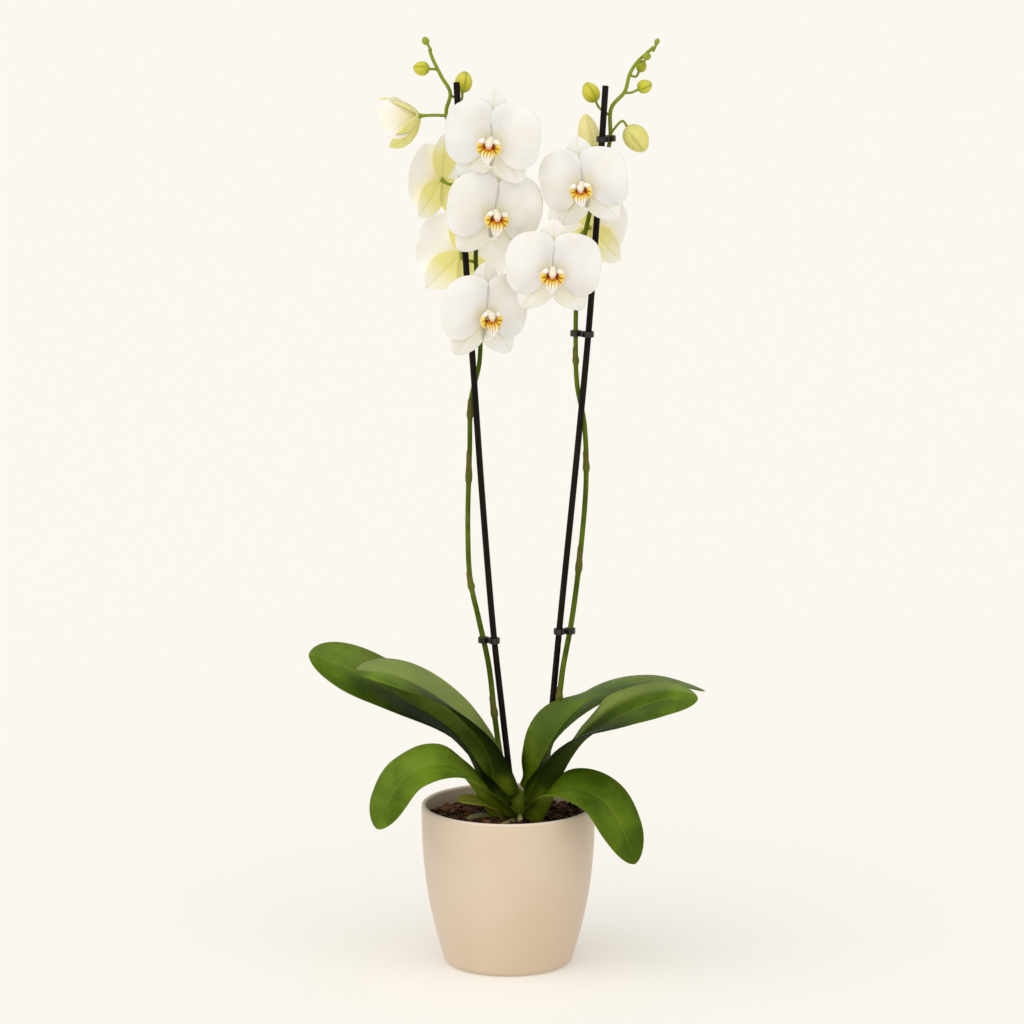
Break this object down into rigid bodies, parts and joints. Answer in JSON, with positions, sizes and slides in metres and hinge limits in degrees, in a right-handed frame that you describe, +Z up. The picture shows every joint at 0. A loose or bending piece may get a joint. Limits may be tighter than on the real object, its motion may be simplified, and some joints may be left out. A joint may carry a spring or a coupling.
{
  "type": "potted orchid",
  "caption": "Potted moth orchid: arching strap leaves and tall white flower spikes with buds, clipped to dark stakes and rooted in bark in a tapered ceramic cover pot",
  "frame": {"origin": "centre of the pot's underside, on the surface it stands on", "axes": "+Z up the plant, -Z out of the pot's underside, -Y to the front that most flowers face, +X to the right as seen from the front"},
  "size_m": [0.3166, 0.1545, 0.7439],
  "materials": {
    "pot_glaze": "satin beige glaze",
    "grow_pot_plastic": "smoky clear film plastic",
    "bark": "rough damp bark chips",
    "leaf": "thick waxy satin leaf",
    "old_leaf": "yellowing leaf",
    "root": "dull velvety aerial root",
    "stem": "smooth satin green stem",
    "stake": "black-brown stake",
    "clip": "black moulded clip",
    "bud": "satin yellow-green bud",
    "petal": "soft velvety white petal",
    "lip": "yellow and red marked lip"
  },
  "bodies": {
    "root": {"bark_bed": "bark", "bud_left_1": "bud", "bud_left_2": "bud", "bud_left_3": "bud", "bud_right_1": "bud", "bud_right_2": "bud", "bud_right_3": "bud", "bud_right_4": "bud", "bud_right_5": "bud", "bud_right_6": "bud", "bud_right_opening": "bud", "clip_left_lower": "clip", "clip_right_lower": "clip", "clip_right_middle": "clip", "clip_right_upper": "clip", "cover_pot": "pot_glaze", "crown": "stem", "flower_left_1_lip": "lip", "flower_left_1_petals": "petal", "flower_left_2_lip": "lip", "flower_left_2_petals": "petal", "flower_left_3_lip": "lip", "flower_left_3_petals": "petal", "flower_left_4_lip": "lip", "flower_left_4_petals": "petal", "flower_left_5_lip": "lip", "flower_left_5_petals": "petal", "flower_left_6_lip": "lip", "flower_left_6_petals": "petal", "flower_right_1_lip": "lip", "flower_right_1_petals": "petal", "flower_right_2_lip": "lip", "flower_right_2_petals": "petal", "flower_right_3_lip": "lip", "flower_right_3_petals": "petal", "grow_pot": "grow_pot_plastic", "leaf_left_long": "leaf", "leaf_left_lower": "leaf", "leaf_left_upper": "leaf", "leaf_old_small": "old_leaf", "leaf_right_long": "leaf", "leaf_right_lower": "leaf", "leaf_right_upper": "leaf", "root_front": "root", "root_left": "root", "root_right": "root", "spike_left": "stem", "spike_right": "stem", "stake_left": "stake", "stake_right": "stake"}
  },
  "joints": []
}
